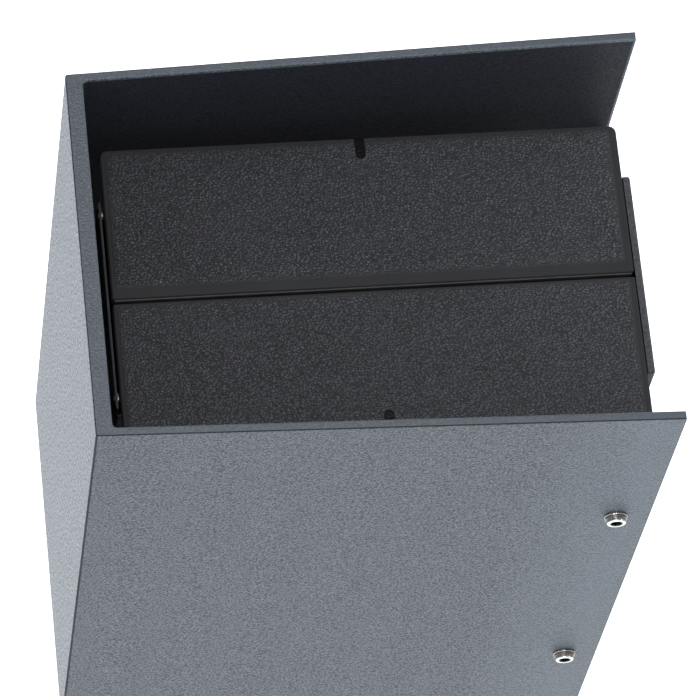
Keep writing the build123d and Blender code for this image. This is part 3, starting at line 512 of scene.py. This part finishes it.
by_node = {
    "cover_spring_washers": turned_steel("tempered_steel", (0.34, 0.28, 0.23), 0.3),
    "flap_left": flap_coat("flap_coat_left", flap_left_low, flap_left_high, FLAP_MARGINS_LEFT),
    "flap_right": flap_coat("flap_coat_right", flap_right_low, flap_right_high, FLAP_MARGINS_RIGHT),
}


def dress():
    """Give every CAD node its own finish, or that of its slot in the record."""
    slots = {s["node"]: s["material_slot"] for s in frame["record"]["subparts"]}
    for name, node in frame["nodes"].items():
        node.data.materials.clear()
        node.data.materials.append(by_node.get(name) or by_slot[slots[name]])


# ---------------------------------------------------------------- floor and light

WHITE_LIGHT = (1.0, 1.0, 1.0)
COOL_LIGHT = (0.80, 0.97, 1.12)
FLOOR_HALF = 8.0
HANGING_HEIGHT = 0.6
FLOOR_COLOUR = (0.90, 0.90, 0.90)
FLOOR_GLOW = 0.70
FLOOR_GLOW_COLOUR = (0.93, 1.0, 1.06)
FLOOR_ROUGHNESS = 0.9
FIBRE_SIZE = 0.4
HORIZON_COLOUR = (0.96, 1.03, 1.10)
ZENITH_COLOUR = (0.60, 0.60, 0.60)


def make_floor():
    """White paper under the hanging box, low enough for its floor door to swing open."""
    mesh = bpy.data.meshes.new("floor")
    corners = [(-1, -1), (1, -1), (1, 1), (-1, 1)]
    level = cad_box[0].z - HANGING_HEIGHT
    points = [(x * FLOOR_HALF, y * FLOOR_HALF, level) for x, y in corners]
    mesh.from_pydata(points, [], [(0, 1, 2, 3)])
    floor = bpy.data.objects.new("floor", mesh)
    bpy.context.scene.collection.objects.link(floor)
    p = Paint("floor_paper", specular=0.1)
    p.shader.inputs["Emission Color"].default_value = (*FLOOR_GLOW_COLOUR, 1.0)
    p.shader.inputs["Emission Strength"].default_value = FLOOR_GLOW
    fibre = p.span(p.noise(FIBRE_SIZE, detail=3.0), 0.3, 0.7)
    tone = p.blend(fibre, shade(FLOOR_COLOUR, 0.99), FLOOR_COLOUR)
    mesh.materials.append(p.finish(tone, FLOOR_ROUGHNESS))
    p.clear_from_behind()


def area_light(name, place, aim, size, power, colour):
    """A round lamp of this size and power, facing aim."""
    data = bpy.data.lights.new(name, "AREA")
    data.shape = "DISK"
    data.size = size
    data.energy = power
    data.color = colour
    light = bpy.data.objects.new(name, data)
    light.location = place
    direction = Vector(aim) - Vector(place)
    light.rotation_mode = "QUATERNION"
    light.rotation_quaternion = direction.to_track_quat("-Z", "Y")
    bpy.context.scene.collection.objects.link(light)


def make_world():
    """A white studio that is brighter and a little cooler near the horizon than overhead."""
    world = bpy.data.worlds.new("studio")
    world.use_nodes = True
    tree = world.node_tree
    place = tree.nodes.new("ShaderNodeTexCoord")
    parts = tree.nodes.new("ShaderNodeSeparateXYZ")
    ramp = tree.nodes.new("ShaderNodeMix")
    ramp.data_type = "RGBA"
    tree.links.new(place.outputs["Generated"], parts.inputs[0])
    tree.links.new(parts.outputs["Z"], ramp.inputs["Factor"])
    low, high = [s for s in ramp.inputs if s.type == "RGBA"]
    low.default_value = (*HORIZON_COLOUR, 1.0)
    high.default_value = (*ZENITH_COLOUR, 1.0)
    colour = [s for s in ramp.outputs if s.type == "RGBA"][0]
    tree.links.new(colour, tree.nodes["Background"].inputs["Color"])
    bpy.context.scene.world = world


def make_light():
    """Broad soft lamps: one in front of the box, one beside it, one behind it and one overhead."""
    middle = (cad_box[0] + cad_box[1]) / 2
    area_light("front_lamp", (0.7, -2.6, 1.3), middle, size=1.6, power=6, colour=COOL_LIGHT)
    area_light("side_lamp", (2.8, -0.2, 1.0), middle, size=1.4, power=48, colour=COOL_LIGHT)
    flaps = (0, 0, flap_top)
    area_light("back_lamp", (-0.4, 2.2, 1.7), flaps, size=0.8, power=26, colour=WHITE_LIGHT)
    area_light("top_lamp", (0.25, -0.4, 2.4), flaps, size=0.5, power=28, colour=WHITE_LIGHT)
    bpy.context.scene.view_settings.view_transform = "Standard"


make_camera()
dress()
make_floor()
make_world()
make_light()
